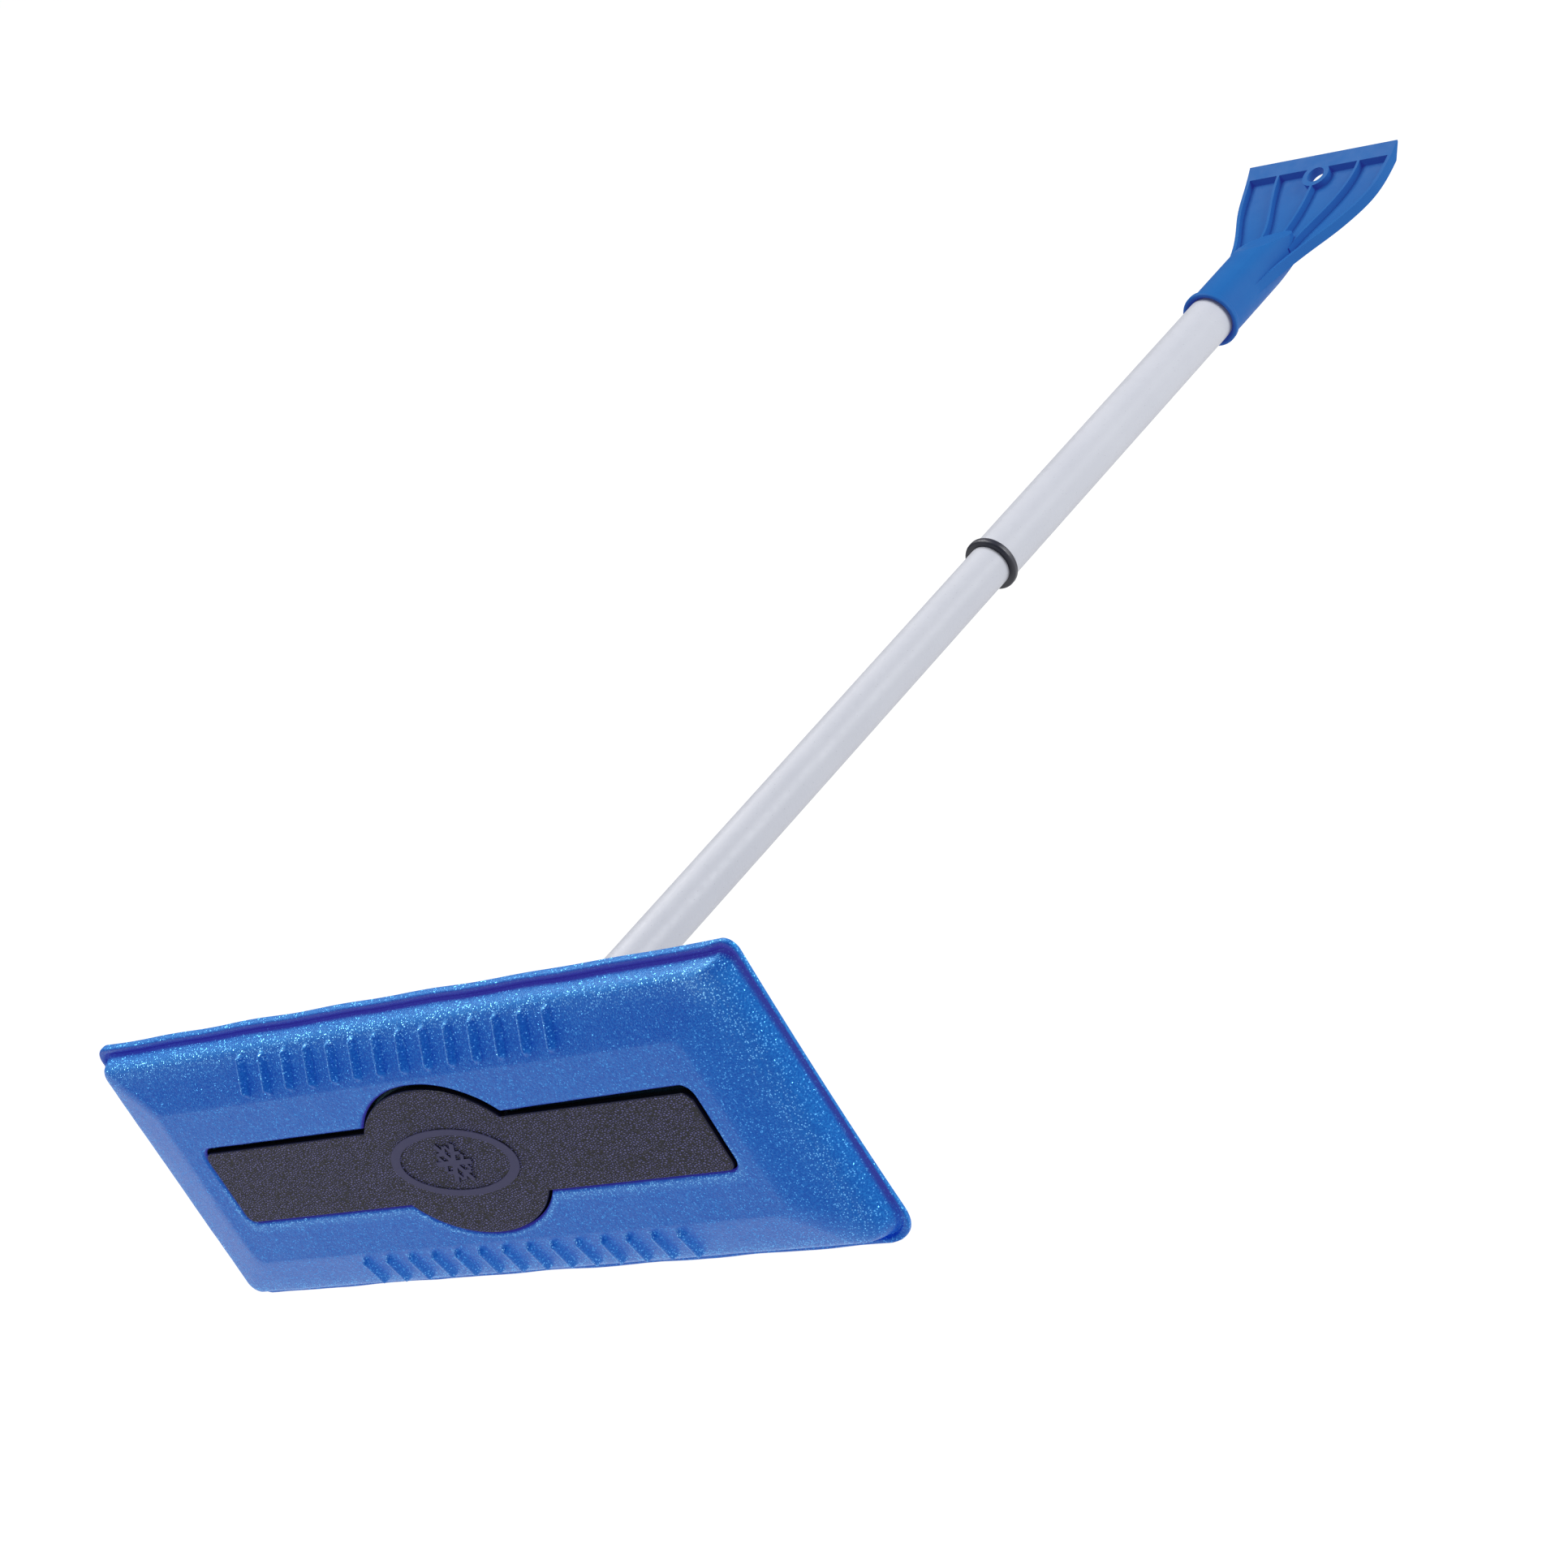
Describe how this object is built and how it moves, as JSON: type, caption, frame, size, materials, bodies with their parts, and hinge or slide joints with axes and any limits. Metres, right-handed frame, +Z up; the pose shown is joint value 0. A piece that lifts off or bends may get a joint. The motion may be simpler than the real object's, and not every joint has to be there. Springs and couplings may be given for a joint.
{
  "type": "telescoping snow rake",
  "caption": "Telescoping snow rake with a wide foam push and pull head on one end of a two-part pole and a fan-shaped ice scraper on the other.",
  "frame": {"origin": "centre of the front plate's face, where the pole's axis meets it", "axes": "+X along the head's width, +Y along the pole from the head to the scraper, +Z up across the head's short side"},
  "size_m": [0.4572, 0.9219, 0.1592],
  "materials": {
    "blue_foam": "satin",
    "black_grained_plastic": "satin",
    "black_plastic": "satin",
    "powder_coated_tube": "satin",
    "blue_plastic": "satin",
    "white_plastic": "satin",
    "plated_steel": "satin",
    "spring_steel": "satin",
    "felt": "matte"
  },
  "bodies": {
    "head_and_inner_pole": {"foam_head": "blue_foam", "front_plate": "black_grained_plastic", "back_plate": "black_plastic", "plate_screws": "plated_steel", "inner_tube": "powder_coated_tube", "tube_foot_plug": "black_plastic", "button_spring": "spring_steel", "guide_sleeve": "white_plastic", "lock_core": "white_plastic", "core_pins": "plated_steel", "lock_washer": "plated_steel", "lock_screw": "plated_steel"},
    "button": {"snap_button": "plated_steel"},
    "lock_cam": {"lock_ring": "white_plastic"},
    "outer_pole": {"outer_tube": "powder_coated_tube", "guide_collar": "black_plastic", "wiper_ring": "felt", "tube_end_plug": "black_plastic", "scraper": "blue_plastic", "scraper_screw": "plated_steel"}
  },
  "joints": [
    {"name": "twist_lock", "type": "hinge", "parent": "head_and_inner_pole", "child": "lock_cam", "pos_m": [0, 0.602, 0], "axis": [0, 1, 0], "range_deg": [-18, 18]},
    {"name": "telescope", "type": "slide", "parent": "lock_cam", "child": "outer_pole", "axis": [0, 1, 0], "range_m": [-0.175, 0.03]},
    {"name": "button_press", "type": "slide", "parent": "head_and_inner_pole", "child": "button", "axis": [0, 0, -1], "range_m": [0, 0.004], "stiffness_N_per_m": 900, "springref_m": -0.003, "deforming": ["button_spring"]}
  ]
}
